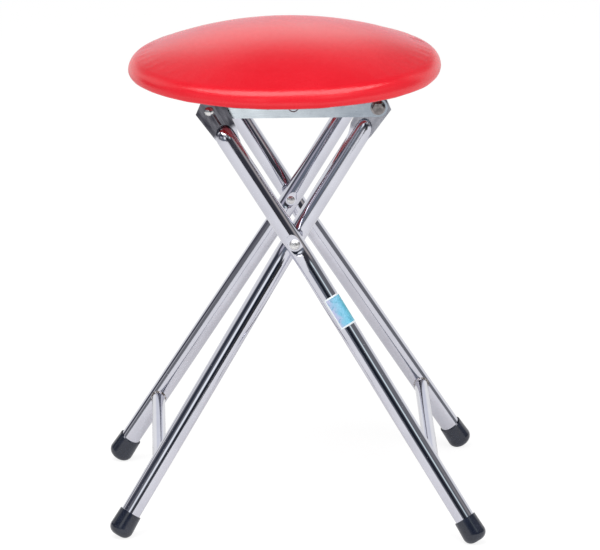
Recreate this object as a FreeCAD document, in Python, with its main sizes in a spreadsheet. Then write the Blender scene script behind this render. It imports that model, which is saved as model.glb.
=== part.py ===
import FreeCAD, Part
import math
import os

import Sketcher

# Folding stool: two pairs of crossed tube legs under a round padded seat.
# X runs across the crossed legs, Y from front to back, Z up, and the floor is Z = 0.
# The outer pair leans to the left at the top, the inner pair to the right.

# Driving dimensions, in millimetres and degrees
DIMENSIONS = {
    # Leg tubes
    "tube_diameter": 19.0,
    "tube_wall": 1.2,
    "leg_lean": 31.85,
    "crossing_height": 279.3,
    "crossing_to_pivot": 151.9,
    "outer_depth": 96.0,
    "leg_gap": 0.5,
    "outer_splay_angle": 13.0,
    "inner_splay_angle": 10.5,
    "bend_drop": 22.0,
    "bend_radius": 70.0,
    # Flattened top ends of the legs
    "tab_inward": 16.2,
    "tab_outward": 12.4,
    "tab_taper": 2.6,
    "tab_thickness": 2.4,
    "tab_length": 27.0,
    "tab_end": 11.0,
    "tab_tip": 5.0,
    "tab_clip_height": 7.0,
    "inner_tab_offset": 3.5,
    "neck_inset": 1.5,
    "inward_flare": 24.0,
    "inward_flare_radius": 75.0,
    "outward_flare": 10.0,
    "dome_length": 13.5,
    "dome_fullness": 2.2,
    "outer_dome_drop": 18.0,
    "inner_dome_drop": 15.5,
    "crease_offset": 2.8,
    "crease_rise": 1.0,
    "crease_width": 2.8,
    "crease_length": 12.0,
    "crease_depth": 0.9,
    # Dimples and rivets where the legs cross
    "dimple_outside": 2.2,
    "dimple_inside": 1.2,
    "dimple_margin": 0.4,
    "dimple_radius": 9.3,
    "rivet_diameter": 6.0,
    "rivet_head_diameter": 10.5,
    "rivet_head_height": 2.6,
    "rivet_tail_diameter": 8.0,
    "rivet_tail_height": 1.8,
    "cross_washer_diameter": 14.0,
    # Cross bars between the legs of a pair
    "stretcher_diameter": 13.0,
    "stretcher_wall": 1.0,
    "outer_stretcher_rise": 82.6,
    "inner_stretcher_rise": 79.0,
    # Rubber feet
    "foot_mouth_wall": 1.4,
    "foot_wall": 2.1,
    "foot_length": 25.0,
    "foot_round": 8.0,
    "foot_base": 6.0,
    "sole_depth": 0.6,
    # Seat rails
    "rail_thickness": 2.5,
    "rail_end_radius": 9.2,
    "rail_bend_radius": 3.5,
    "rail_flange_width": 24.0,
    "rail_flange_length": 116.0,
    "rail_mark_diameter": 9.5,
    "rail_mark_rise": 1.6,
    "rail_mark_depth": 0.4,
    "hook_angle": 58.3,
    "hook_clearance": 0.4,
    # Pivot bolts, hook pins and washers
    "bolt_diameter": 6.0,
    "bolt_flange_diameter": 14.2,
    "bolt_flange_height": 1.6,
    "bolt_hex_width": 10.0,
    "bolt_head_height": 6.0,
    "bolt_end": 1.5,
    "nut_height": 5.0,
    "pivot_washer_diameter": 14.0,
    "pivot_washer_thickness": 0.8,
    "pin_neck_diameter": 6.4,
    "pin_collar_diameter": 10.0,
    "pin_head_diameter": 9.6,
    "pin_head_height": 2.8,
    "pin_tail_diameter": 11.0,
    "pin_tail_height": 2.2,
    # Seat
    "seat_gap": 14.6,
    "seat_offset": -6.6,
    "seat_diameter": 300.0,
    "seat_thickness": 48.1,
    "seat_rim_round": 14.4,
    "seat_lower_round": 7.2,
    "cover_thickness": 1.2,
    "hem_width": 18.0,
    "board_inset": 10.0,
    "board_thickness": 9.0,
    "screw_end_inset": 10.0,
    "screw_inset": 12.0,
    "screw_diameter": 3.6,
    "screw_head_diameter": 8.0,
    "screw_head_height": 2.4,
    "screw_bite": 7.0,
    "staple_length": 10.0,
    "staple_width": 1.2,
    "staple_height": 0.6,
    # Fits
    "running_play": 0.05,
    "side_play": 0.1,
    "head_play": 0.6,
    "pilot_spare": 0.5,
    "cut_spare": 1.0,
}
STAPLE_COUNT = 28
SCREWS_PER_RAIL = 3
DOME_STEPS = (0.4, 0.7, 0.88, 0.96)

doc = FreeCAD.newDocument("folding_stool")
sheet = doc.addObject("Spreadsheet::Sheet", "dims")
for row, (alias, number) in enumerate(DIMENSIONS.items(), start=1):
    sheet.set(f"A{row}", alias)
    sheet.set(f"B{row}", str(number))
    sheet.setAlias(f"B{row}", alias)
doc.recompute()


def value(expression):
    """The number that an expression over the sheet gives."""
    return float(sheet.evalExpression(expression))


# Places that follow from the driving dimensions, as expressions
TUBE_RADIUS = "(dims.tube_diameter / 2)"
INNER_DEPTH = "(dims.outer_depth - dims.tube_diameter - dims.leg_gap)"
INNER_TAB_DEPTH = f"({INNER_DEPTH} + dims.inner_tab_offset)"
INNER_TAB_FRONT = f"({INNER_TAB_DEPTH} + dims.tab_thickness / 2)"
INNER_TAB_REAR = f"({INNER_TAB_DEPTH} - dims.tab_thickness / 2)"
WASHER_REAR = f"({INNER_TAB_FRONT} + dims.side_play)"
RAIL_REAR = f"({WASHER_REAR} + dims.pivot_washer_thickness + dims.side_play)"
RAIL_FRONT = f"({RAIL_REAR} + dims.rail_thickness)"
BOLT_HEAD_REAR = f"({RAIL_FRONT} + dims.side_play)"
OUTER_TAB_REAR = f"({BOLT_HEAD_REAR} + dims.bolt_head_height + dims.head_play)"
OUTER_TAB_DEPTH = f"({OUTER_TAB_REAR} + dims.tab_thickness / 2)"
OUTER_TAB_FRONT = f"({OUTER_TAB_REAR} + dims.tab_thickness)"
PIVOT_SPAN = "(dims.crossing_to_pivot * sin(dims.leg_lean))"
PIVOT_HEIGHT = "(dims.crossing_height + dims.crossing_to_pivot * cos(dims.leg_lean))"
FOOT_RADIUS = f"({TUBE_RADIUS} + dims.foot_wall)"
BOARD_UNDERSIDE = f"({PIVOT_HEIGHT} + dims.seat_gap)"
BOARD_RADIUS = "(dims.seat_diameter / 2 - dims.board_inset)"
HEM_RADIUS = "(dims.seat_diameter / 2 - dims.seat_lower_round - dims.hem_width)"
SCREW_DEPTH = f"({RAIL_FRONT} - dims.rail_flange_width + dims.screw_inset)"
FLOOR_SIDE = "(4 * dims.crossing_height)"

X_AXIS = FreeCAD.Vector(1, 0, 0)
Y_AXIS = FreeCAD.Vector(0, 1, 0)
Z_AXIS = FreeCAD.Vector(0, 0, 1)


def origin_plane(body, role):
    """One of a body's own origin planes."""
    for feature in body.Origin.OriginFeatures:
        if feature.Role == role:
            return feature
    raise ValueError(f"no plane {role}")


def new_sketch(body, role, offset="0"):
    """An empty sketch on an origin plane, moved along the plane's normal."""
    sketch = body.newObject("Sketcher::SketchObject", "sketch")
    sketch.AttachmentSupport = [(origin_plane(body, role), "")]
    sketch.MapMode = "FlatFace"
    sketch.setExpression(".AttachmentOffset.Base.z", offset)
    return sketch


def bind(sketch, constraint, expression):
    """Add a constraint whose value follows the sheet."""
    index = sketch.addConstraint(constraint)
    sketch.setExpression(f"Constraints[{index}]", expression)


def arc_between(start, end, radius):
    """A short arc from start to end, turning left for a positive radius."""
    middle = (start + end) / 2
    chord = end - start
    rise = math.sqrt(max(radius * radius - chord.Length * chord.Length / 4, 0.0))
    side = FreeCAD.Vector(-chord.y, chord.x, 0).normalize() * math.copysign(rise, radius)
    centre = middle + side
    circle = Part.Circle(centre, Z_AXIS, abs(radius))
    first, last = (start, end) if radius > 0 else (end, start)
    return Part.ArcOfCircle(circle, circle.parameter(first), circle.parameter(last))


def draw(sketch, corners, closed=True):
    """Join corners with lines, or with an arc where a corner gives its radius as a third item."""
    points = [FreeCAD.Vector(value(corner[0]), value(corner[1]), 0) for corner in corners]
    count = len(corners) if closed else len(corners) - 1
    runs = []
    for index in range(count):
        target = (index + 1) % len(corners)
        start, end = points[index], points[target]
        if len(corners[target]) == 2:
            edge = sketch.addGeometry(Part.LineSegment(start, end), False)
            runs.append((edge, 1, 2))
            continue
        radius = value(corners[target][2])
        edge = sketch.addGeometry(arc_between(start, end, radius), False)
        runs.append((edge, 1, 2) if radius > 0 else (edge, 2, 1))
        bind(sketch, Sketcher.Constraint("Radius", edge, abs(radius)), f"abs({corners[target][2]})")
    for index, (edge, first, last) in enumerate(runs):
        if closed or index + 1 < count:
            following, follower_first, _ = runs[(index + 1) % count]
            sketch.addConstraint(Sketcher.Constraint("Coincident", edge, last, following, follower_first))
    ends = [(edge, first) for edge, first, _ in runs]
    if not closed:
        ends.append((runs[-1][0], runs[-1][2]))
    for (edge, end), corner, point in zip(ends, corners, points):
        bind(sketch, Sketcher.Constraint("DistanceX", -1, 1, edge, end, point.x), corner[0])
        bind(sketch, Sketcher.Constraint("DistanceY", -1, 1, edge, end, point.y), corner[1])
    return sketch


def rectangle(half, low, high):
    """Corners of a rectangle about the sketch's upright axis."""
    return [(f"-{half}", low), (half, low), (half, high), (f"-{half}", high)]


def draw_circle(sketch, across, along, radius):
    """A circle at a place in the sketch."""
    centre = FreeCAD.Vector(value(across), value(along), 0)
    circle = Part.Circle(centre, Z_AXIS, value(radius))
    edge = sketch.addGeometry(circle, False)
    bind(sketch, Sketcher.Constraint("DistanceX", -1, 1, edge, 3, centre.x), across)
    bind(sketch, Sketcher.Constraint("DistanceY", -1, 1, edge, 3, centre.y), along)
    bind(sketch, Sketcher.Constraint("Radius", edge, circle.Radius), radius)
    return sketch


def new_body(label):
    body = doc.addObject("PartDesign::Body", label)
    body.Label = label
    return body


def pad(body, sketch, length, symmetric=False):
    feature = body.newObject("PartDesign::Pad", "pad")
    feature.Profile = sketch
    feature.setExpression("Length", length)
    feature.SideType = "Symmetric" if symmetric else "One side"
    doc.recompute()
    return feature


def cut_through(body, sketch):
    """Cut a sketch right through the body, both ways, and make sure that it took material."""
    before = body.Shape.Volume
    feature = body.newObject("PartDesign::Pocket", "cut")
    feature.Profile = sketch
    feature.SideType = "Two sides"
    feature.Type = "ThroughAll"
    feature.Type2 = "ThroughAll"
    doc.recompute()
    if not body.Shape.Volume < before:
        raise ValueError(f"a cut in {body.Label} takes nothing away")
    return feature


def cut_blind(body, sketch, depth, reverse=False):
    """Cut a sketch to a depth and make sure that it took material."""
    before = body.Shape.Volume
    feature = body.newObject("PartDesign::Pocket", "recess")
    feature.Profile = sketch
    feature.setExpression("Length", depth)
    feature.Reversed = reverse
    doc.recompute()
    if not body.Shape.Volume < before:
        raise ValueError(f"a recess in {body.Label} takes nothing away")
    return feature


def turned(label, corners):
    """A piece turned about its own Z axis, from (radius, height) corners."""
    body = new_body(label)
    sketch = draw(new_sketch(body, "XZ_Plane"), corners)
    feature = body.newObject("PartDesign::Revolution", "turn")
    feature.Profile = sketch
    feature.ReferenceAxis = (sketch, ["V_Axis"])
    feature.Angle = 360.0
    doc.recompute()
    return body


def cut(label, base, tool):
    feature = doc.addObject("Part::Cut", label)
    feature.Base = base
    feature.Tool = tool
    feature.Label = label
    doc.recompute()
    return feature


def mirrored(label, source):
    """The same piece at the back of the stool."""
    feature = doc.addObject("Part::Mirroring", label)
    feature.Source = source
    feature.Normal = Y_AXIS
    feature.Label = label
    doc.recompute()
    return feature


def group(label, pieces):
    feature = doc.addObject("Part::Compound", label)
    feature.Links = pieces
    feature.Label = label
    doc.recompute()
    return feature


def cylinder(label, radius, height):
    feature = doc.addObject("Part::Cylinder", label)
    feature.setExpression("Radius", radius)
    feature.setExpression("Height", height)
    feature.Label = label
    return feature


def leg_placement(lean_sign):
    """A leg is drawn upright with the crossing at its origin, then leans about the Y axis."""
    base = FreeCAD.Vector(0, 0, value("dims.crossing_height"))
    return FreeCAD.Placement(base, FreeCAD.Rotation(Y_AXIS, lean_sign * value("dims.leg_lean")))


def facing_front(across, height):
    """A turned piece whose own height counts as the distance in front of the middle plane."""
    base = FreeCAD.Vector(value(across), 0, value(height))
    return FreeCAD.Placement(base, FreeCAD.Rotation(X_AXIS, 90))


def foot_reach(splay):
    """Length of the lower leg from its bend to the end of its foot, so that the sole meets the floor."""
    drop = f"(cos(dims.leg_lean) * cos({splay}))"
    corner = f"(({FOOT_RADIUS} - dims.foot_round) * sqrt(1 - {drop} ^ 2))"
    bend_height = "(dims.crossing_height - dims.bend_drop * cos(dims.leg_lean))"
    round_height = f"({corner} + dims.foot_round - dims.sole_depth)"
    return f"(({bend_height} - {round_height}) / {drop} + dims.foot_round)"


def leg_path(body, depth, splay, top):
    """The centre line: straight down, bent below the crossing, then splayed to the foot."""
    tangent = f"(dims.bend_radius * tan({splay} / 2))"
    reach = f"({foot_reach(splay)} - dims.foot_base)"
    bend_across = f"-{depth} - {tangent} * sin({splay})"
    bend_below = f"-dims.bend_drop - {tangent} * cos({splay})"
    corners = [
        (f"-{depth}", top),
        (f"-{depth}", f"-dims.bend_drop + {tangent}"),
        (bend_across, bend_below, "-dims.bend_radius"),
        (f"-{depth} - {reach} * sin({splay})", f"-dims.bend_drop - {reach} * cos({splay})"),
    ]
    return draw(new_sketch(body, "YZ_Plane"), corners, closed=False)


def dimple(body, depth, side, sink, seat, skin):
    """Press a round bowl into the leg's front, -1, or back, 1, flat under what seats in it."""
    floor = f"(-{depth} + {side} * ({TUBE_RADIUS} - {sink} - {skin}))"
    curve = f"(dims.dimple_radius + {skin})"
    rise = f"({sink} + {skin} + dims.cut_spare)"
    run = f"sqrt(2 * {curve} * {rise} - {rise} ^ 2)"
    land = f"({seat} / 2 + dims.dimple_margin)"
    corners = [
        (floor, "0"),
        (floor, land),
        (f"{floor} + {side} * {rise}", f"{land} + {run}", f"{-side} * {curve}"),
        (f"{floor} + {side} * {rise}", "0"),
    ]
    before = body.Shape.Volume
    sketch = draw(new_sketch(body, "YZ_Plane"), corners)
    bowl = body.newObject("PartDesign::Groove", "bowl")
    bowl.Profile = sketch
    bowl.ReferenceAxis = (sketch, ["H_Axis"])
    bowl.Angle = 360.0
    doc.recompute()
    if not body.Shape.Volume < before:
        raise ValueError(f"a dimple in {body.Label} takes nothing away")
    return bowl


def leg_ring(body, level, across, depth, radius):
    """A circle across a leg, at a height above the crossing."""
    return draw_circle(new_sketch(body, "XY_Plane", level), across, f"-{depth}", radius)


def leg_bar(label, depth, tab_depth, splay, dome_drop, inward, skin, sinks):
    """The bent bar of a leg, thinner all round by the skin, its domed end leaning to the tab's middle."""
    body = new_body(label)
    shift = f"({inward} * (dims.tab_inward - dims.tab_outward) / 2)"
    dome_top = f"(dims.crossing_to_pivot - {dome_drop})"
    dome_base = f"({dome_top} - dims.dome_length)"
    tube_radius = f"{TUBE_RADIUS} - {skin}"
    pipe = body.newObject("PartDesign::AdditivePipe", "tube")
    pipe.Profile = leg_ring(body, dome_base, "0", depth, tube_radius)
    pipe.Spine = (leg_path(body, depth, splay, dome_base), [])
    doc.recompute()
    rings = []
    for step in DOME_STEPS:
        level = f"{dome_base} + {step} * dims.dome_length"
        middle = f"({depth} + ({tab_depth} - {depth}) * {step} ^ 2)"
        share = f"(1 - {step} ^ dims.dome_fullness) ^ (1 / dims.dome_fullness)"
        radius = f"{TUBE_RADIUS} * {share} - {skin}"
        rings.append(leg_ring(body, level, f"{shift} * {step} ^ 2", middle, radius))
    if skin == "0":
        tip = "dims.tab_thickness / 2 - dims.side_play"
        rings.append(leg_ring(body, dome_top, shift, tab_depth, tip))
    dome = body.newObject("PartDesign::AdditiveLoft", "dome")
    dome.Profile = leg_ring(body, dome_base, "0", depth, tube_radius)
    dome.Sections = rings
    doc.recompute()
    for side, sink, seat in sinks:
        dimple(body, depth, side, sink, seat, skin)
    return body


def tab_outline(inward):
    """Corners of a leg's flattened end: tapered, clipped, and wider towards the seat's middle."""
    pivot = "dims.crossing_to_pivot"
    shoulder = f"{pivot} + dims.tab_end - dims.tab_clip_height"
    neck = f"({TUBE_RADIUS} - dims.neck_inset)"
    bottom = f"{pivot} - dims.tab_length"
    turn = f"{-inward} * dims.inward_flare_radius"
    return [
        (f"{-inward} * {neck}", f"{bottom} - dims.outward_flare"),
        (f"{inward} * {neck}", f"{bottom} - dims.inward_flare"),
        (f"{inward} * (dims.tab_inward - dims.tab_taper)", bottom, turn),
        (f"{inward} * dims.tab_inward", pivot),
        (f"{inward} * dims.tab_tip / 2", f"{pivot} + dims.tab_end"),
        (f"{-inward} * dims.tab_tip / 2", f"{pivot} + dims.tab_end"),
        (f"{-inward} * dims.tab_outward", shoulder),
        (f"{-inward} * (dims.tab_outward - dims.tab_taper)", bottom),
    ]


def leg(label, depth, tab_depth, splay, dome_drop, sinks, lean_sign, creased):
    """A hollow leg: bent tube, dimpled at the crossing, flattened to a clipped tab at the top."""
    inward = -lean_sign
    skin = leg_bar(f"{label}_skin", depth, tab_depth, splay, dome_drop, inward, "0", sinks)
    core = leg_bar(f"{label}_core", depth, tab_depth, splay, dome_drop, inward, "dims.tube_wall", sinks)
    tab = draw(new_sketch(skin, "XZ_Plane", tab_depth), tab_outline(inward))
    pad(skin, tab, "dims.tab_thickness", symmetric=True)
    hole = "dims.rivet_diameter / 2 + dims.running_play"
    cut_through(skin, draw_circle(new_sketch(skin, "XZ_Plane"), "0", "0", hole))
    hole = "dims.bolt_diameter / 2 + dims.running_play"
    cut_through(skin, draw_circle(new_sketch(skin, "XZ_Plane"), "0", "dims.crossing_to_pivot", hole))
    if creased:
        bottom = f"(dims.crossing_to_pivot - {dome_drop} + dims.crease_rise)"
        face = f"-({tab_depth} + dims.tab_thickness / 2)"
        middle = f"{inward} * dims.crease_offset"
        groove = [
            (f"{middle} - dims.crease_width / 2", face),
            (middle, f"{face} + dims.crease_depth"),
            (f"{middle} + dims.crease_width / 2", face),
        ]
        crease = draw(new_sketch(skin, "XY_Plane", bottom), groove)
        cut_blind(skin, crease, "dims.crease_length", reverse=True)
    place = leg_placement(lean_sign)
    skin.Placement = place
    core.Placement = place
    return skin, cut(label, skin, core)


def foot(label, depth, splay, lean_sign, floor):
    """A rubber cap on the end of a leg, worn flat where it meets the floor."""
    mouth = f"{TUBE_RADIUS} + dims.foot_mouth_wall"
    bottom = "-dims.foot_length"
    corners = [
        (TUBE_RADIUS, "0"),
        (TUBE_RADIUS, f"{bottom} + dims.foot_base"),
        ("0", f"{bottom} + dims.foot_base"),
        ("0", bottom),
        (f"{FOOT_RADIUS} - dims.foot_round", bottom),
        (FOOT_RADIUS, f"{bottom} + dims.foot_round", "dims.foot_round"),
        (mouth, "0"),
    ]
    cap = turned(f"{label}_cap", corners)
    angle = value(splay)
    along = value(foot_reach(splay)) - value("dims.foot_length")
    sine, cosine = math.sin(math.radians(angle)), math.cos(math.radians(angle))
    across = -value(depth) - along * sine
    below = -value("dims.bend_drop") - along * cosine
    place = FreeCAD.Placement(FreeCAD.Vector(0, across, below), FreeCAD.Rotation(X_AXIS, -angle))
    cap.Placement = leg_placement(lean_sign).multiply(place)
    return cut(label, cap, floor)


def stretcher(label, depth, splay, rise, lean_sign, front_skin):
    """A cross bar from leg to leg above the feet, its ends shaped to the tubes that it is welded to."""
    along = f"({foot_reach(splay)} - {rise})"
    half = f"({depth} + {along} * sin({splay}))"
    drop = f"(dims.bend_drop + {along} * cos({splay}))"
    outside = cylinder(f"{label}_outside", "dims.stretcher_diameter / 2", f"2 * {half}")
    inside = cylinder(f"{label}_inside", "dims.stretcher_diameter / 2 - dims.stretcher_wall", f"2 * {half}")
    middle = leg_placement(lean_sign).multVec(FreeCAD.Vector(0, 0, -value(drop)))
    start = FreeCAD.Vector(middle.x, value(half), middle.z)
    for bar in (outside, inside):
        bar.Placement = FreeCAD.Placement(start, FreeCAD.Rotation(X_AXIS, 90))
    tube = cut(f"{label}_tube", outside, inside)
    front_fitted = cut(f"{label}_front_fitted", tube, front_skin)
    return cut(label, front_fitted, mirrored(f"{label}_rear_leg", front_skin))


def hexagon(body, level, width):
    """A hexagon across flats, level with a height on the piece's axis."""
    corner_radius = f"({width} / sqrt(3))"
    corners = [
        (f"{corner_radius} * cos({angle})", f"{corner_radius} * sin({angle})")
        for angle in range(0, 360, 60)
    ]
    return draw(new_sketch(body, "XY_Plane", level), corners)


def pivot_bolt(label):
    """A flanged hexagon bolt whose shank carries the rail and the inner leg."""
    shank = "dims.bolt_diameter / 2"
    tail = f"{INNER_TAB_REAR} - dims.nut_height - dims.bolt_end"
    flange = "dims.bolt_flange_diameter / 2"
    flange_top = f"{BOLT_HEAD_REAR} + dims.bolt_flange_height"
    collar = "dims.bolt_hex_width / 2"
    flange_edge = f"({BOLT_HEAD_REAR} + dims.bolt_flange_height / 2)"
    corners = [
        ("0", tail),
        (shank, tail),
        (shank, BOLT_HEAD_REAR),
        (flange, BOLT_HEAD_REAR),
        (flange, flange_edge),
        (collar, flange_top),
        ("0", flange_top),
    ]
    bolt = turned(label, corners)
    head = "dims.bolt_head_height - dims.bolt_flange_height / 2"
    pad(bolt, hexagon(bolt, flange_edge, "dims.bolt_hex_width"), head)
    bolt.Placement = facing_front(PIVOT_SPAN, PIVOT_HEIGHT)
    return bolt


def pivot_nut(label):
    """The hexagon nut behind the inner leg's tab."""
    nut = new_body(label)
    level = f"{INNER_TAB_REAR} - dims.nut_height"
    pad(nut, hexagon(nut, level, "dims.bolt_hex_width"), "dims.nut_height")
    bore = "dims.bolt_diameter / 2 + dims.running_play"
    cut_through(nut, draw_circle(new_sketch(nut, "XY_Plane"), "0", "0", bore))
    nut.Placement = facing_front(PIVOT_SPAN, PIVOT_HEIGHT)
    return nut


def washer(label, rear, thickness, diameter, bore):
    """A flat ring between two pieces that turn on each other."""
    hole = f"{bore} / 2 + dims.running_play"
    rim = f"{diameter} / 2"
    front = f"{rear} + {thickness}"
    return turned(label, [(hole, rear), (rim, rear), (rim, front), (hole, front)])


def hook_pin(label):
    """A shouldered rivet in the outer leg's tab, over which the rail hooks."""
    shank = "dims.bolt_diameter / 2"
    neck = "dims.pin_neck_diameter / 2"
    collar = "dims.pin_collar_diameter / 2"
    tail = "dims.pin_tail_diameter / 2"
    head = "(dims.pin_head_diameter / 2)"
    collar_rear = f"({RAIL_FRONT} + dims.side_play)"
    tail_front = f"({RAIL_REAR} - dims.side_play)"
    head_radius = f"({head} ^ 2 + dims.pin_head_height ^ 2) / (2 * dims.pin_head_height)"
    corners = [
        ("0", f"{tail_front} - dims.pin_tail_height"),
        (tail, f"{tail_front} - dims.pin_tail_height"),
        (tail, tail_front),
        (neck, tail_front),
        (neck, collar_rear),
        (collar, collar_rear),
        (collar, OUTER_TAB_REAR),
        (shank, OUTER_TAB_REAR),
        (shank, OUTER_TAB_FRONT),
        (head, OUTER_TAB_FRONT),
        ("0", f"{OUTER_TAB_FRONT} + dims.pin_head_height", head_radius),
    ]
    pin = turned(label, corners)
    pin.Placement = facing_front(f"-{PIVOT_SPAN}", PIVOT_HEIGHT)
    return pin


def cross_rivet(label):
    """The rivet on which the two front legs turn, with a smaller closed end inside."""
    shank = "dims.rivet_diameter / 2"
    head = "(dims.rivet_head_diameter / 2)"
    tail = "(dims.rivet_tail_diameter / 2)"
    front = f"(dims.outer_depth + {TUBE_RADIUS} - dims.dimple_outside)"
    rear = f"({INNER_DEPTH} - {TUBE_RADIUS} + dims.dimple_inside - dims.side_play)"
    head_radius = f"({head} ^ 2 + dims.rivet_head_height ^ 2) / (2 * dims.rivet_head_height)"
    tail_radius = f"({tail} ^ 2 + dims.rivet_tail_height ^ 2) / (2 * dims.rivet_tail_height)"
    corners = [
        ("0", f"{rear} - dims.rivet_tail_height"),
        (tail, rear, tail_radius),
        (shank, rear),
        (shank, front),
        (head, front),
        ("0", f"{front} + dims.rivet_head_height", head_radius),
    ]
    rivet = turned(label, corners)
    rivet.Placement = facing_front("0", "dims.crossing_height")
    return rivet


def seat_rail(label):
    """An angle bar under the seat: one round end bored for the pivot, the other notched for its pin."""
    rail = new_body(label)
    web = f"(({RAIL_REAR} + {RAIL_FRONT}) / 2)"
    end = "dims.rail_end_radius"
    strip = [
        (f"-{PIVOT_SPAN}", f"-{end}", end),
        (PIVOT_SPAN, f"-{end}"),
        (f"{PIVOT_SPAN} + {end}", "0", end),
        (PIVOT_SPAN, end, end),
        (f"-{PIVOT_SPAN}", end),
        (f"-{PIVOT_SPAN} - {end}", "0", end),
    ]
    pad(rail, draw(new_sketch(rail, "XZ_Plane", web), strip), "dims.rail_thickness", symmetric=True)
    reach = "dims.rail_flange_length / 2"
    plate = rectangle(reach, f"-{end}", "dims.seat_gap")
    pad(rail, draw(new_sketch(rail, "XZ_Plane", web), plate), "dims.rail_thickness", symmetric=True)
    flange = rectangle(reach, f"-{RAIL_FRONT}", f"-{RAIL_FRONT} + dims.rail_flange_width")
    flange_level = "dims.seat_gap - dims.rail_thickness"
    pad(rail, draw(new_sketch(rail, "XY_Plane", flange_level), flange), "dims.rail_thickness")
    round_bend(rail)
    bore = "dims.bolt_diameter / 2 + dims.running_play"
    cut_through(rail, draw_circle(new_sketch(rail, "XZ_Plane"), PIVOT_SPAN, "0", bore))
    cut_through(rail, hook_notch(rail))
    for place in screw_places():
        hole = "dims.screw_diameter / 2 + dims.running_play"
        cut_through(rail, draw_circle(new_sketch(rail, "XY_Plane"), place, f"-{SCREW_DEPTH}", hole))
    mark = new_sketch(rail, "XZ_Plane", RAIL_FRONT)
    draw_circle(mark, "0", "dims.rail_mark_rise", "dims.rail_mark_diameter / 2")
    cut_blind(rail, mark, "dims.rail_mark_depth")
    rail.Placement = FreeCAD.Placement(FreeCAD.Vector(0, 0, value(PIVOT_HEIGHT)), FreeCAD.Rotation())
    return rail


def round_bend(rail):
    """Round the outside of the bend between a rail's upright and its flange."""
    level = value("dims.seat_gap")
    front = -value(RAIL_FRONT)
    corner = FreeCAD.Vector(0, front, level)
    tip = rail.Tip
    for index, edge in enumerate(tip.Shape.Edges, start=1):
        if edge.distToShape(Part.Vertex(corner))[0] < Part.Precision.confusion():
            bend = rail.newObject("PartDesign::Fillet", "bend")
            bend.Base = (tip, [f"Edge{index}"])
            bend.setExpression("Radius", "dims.rail_bend_radius")
            doc.recompute()
            return bend
    raise ValueError("the rail has no outer bend edge")


def hook_notch(rail):
    """A slanting slot, open below, with a round top that rests on the hook pin."""
    half = "(dims.pin_neck_diameter / 2 + dims.hook_clearance)"
    side_across = f"{half} * sin(dims.hook_angle)"
    side_along = f"{half} * cos(dims.hook_angle)"
    reach = "(2 * dims.rail_end_radius)"
    mouth_across = f"{reach} * cos(dims.hook_angle)"
    mouth_along = f"-{reach} * sin(dims.hook_angle)"
    top_across = f"-{half} * cos(dims.hook_angle)"
    top_along = f"{half} * sin(dims.hook_angle)"
    corners = [
        (f"-{PIVOT_SPAN} - {side_across}", f"-{side_along}", half),
        (f"-{PIVOT_SPAN} - {side_across} + {mouth_across}", f"-{side_along} + {mouth_along}"),
        (f"-{PIVOT_SPAN} + {side_across} + {mouth_across}", f"{side_along} + {mouth_along}"),
        (f"-{PIVOT_SPAN} + {side_across}", side_along),
        (f"-{PIVOT_SPAN} + {top_across}", top_along, half),
    ]
    return draw(new_sketch(rail, "XZ_Plane"), corners)


def screw_places():
    """Places of the wood screws along a rail, about its middle."""
    reach = "(dims.rail_flange_length / 2 - dims.screw_end_inset)"
    last = SCREWS_PER_RAIL - 1
    return [f"{2 * index / last - 1} * {reach}" for index in range(SCREWS_PER_RAIL)]


def rail_screw(label, place, side):
    """A pan head wood screw, up through a rail into the board."""
    head = "(dims.screw_head_diameter / 2)"
    shank = "(dims.screw_diameter / 2)"
    under = f"({BOARD_UNDERSIDE} - dims.rail_thickness)"
    corners = [
        ("0", f"{under} - dims.screw_head_height"),
        (f"{head} / 2", f"{under} - dims.screw_head_height"),
        (head, f"{under} - dims.screw_head_height / 3"),
        (head, under),
        (shank, under),
        (shank, f"{BOARD_UNDERSIDE} + dims.screw_bite - {shank}"),
        ("0", f"{BOARD_UNDERSIDE} + dims.screw_bite"),
    ]
    screw = turned(label, corners)
    screw.Placement.Base = FreeCAD.Vector(value(place), side * value(SCREW_DEPTH), 0)
    return screw


def seat_form(label, inset):
    """The crowned seat: a wide crown, a small round at the rim and a tighter one below it."""
    radius = f"(dims.seat_diameter / 2 - {inset})"
    bottom = f"({BOARD_UNDERSIDE} - dims.cover_thickness + {inset})"
    waist = f"({BOARD_UNDERSIDE} - dims.cover_thickness + dims.seat_lower_round)"
    top = f"({BOARD_UNDERSIDE} - dims.cover_thickness + dims.seat_thickness - {inset})"
    lower = f"(dims.seat_lower_round - {inset})"
    rim = f"(dims.seat_rim_round - {inset})"
    rim_centre = "(dims.seat_diameter / 2 - dims.seat_rim_round)"
    rise = f"({top} - {waist})"
    crown = f"(({rim_centre} ^ 2 + {rise} ^ 2 - {rim} ^ 2) / (2 * ({rise} - {rim})))"
    share = f"({rim} / ({crown} - {rim}))"
    corners = [
        ("0", bottom),
        (f"{radius} - {lower}", bottom),
        (radius, waist, lower),
        (f"{rim_centre} * (1 + {share})", f"{waist} + ({crown} - {rise}) * {share}", rim),
        ("0", top, crown),
    ]
    form = turned(label, corners)
    form.Placement.Base = FreeCAD.Vector(value("dims.seat_offset"), 0, 0)
    return form


def seat_board(label):
    """The plywood disc, with pilot holes for the screws."""
    board = new_body(label)
    rim = new_sketch(board, "XY_Plane", BOARD_UNDERSIDE)
    draw_circle(rim, "dims.seat_offset", "0", BOARD_RADIUS)
    pad(board, rim, "dims.board_thickness")
    for place in screw_places():
        for side in ("", "-"):
            pilot = new_sketch(board, "XY_Plane", BOARD_UNDERSIDE)
            draw_circle(pilot, place, f"{side}{SCREW_DEPTH}", "dims.screw_diameter / 2 + dims.running_play")
            cut_blind(board, pilot, "dims.screw_bite + dims.pilot_spare", reverse=True)
    return board


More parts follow.
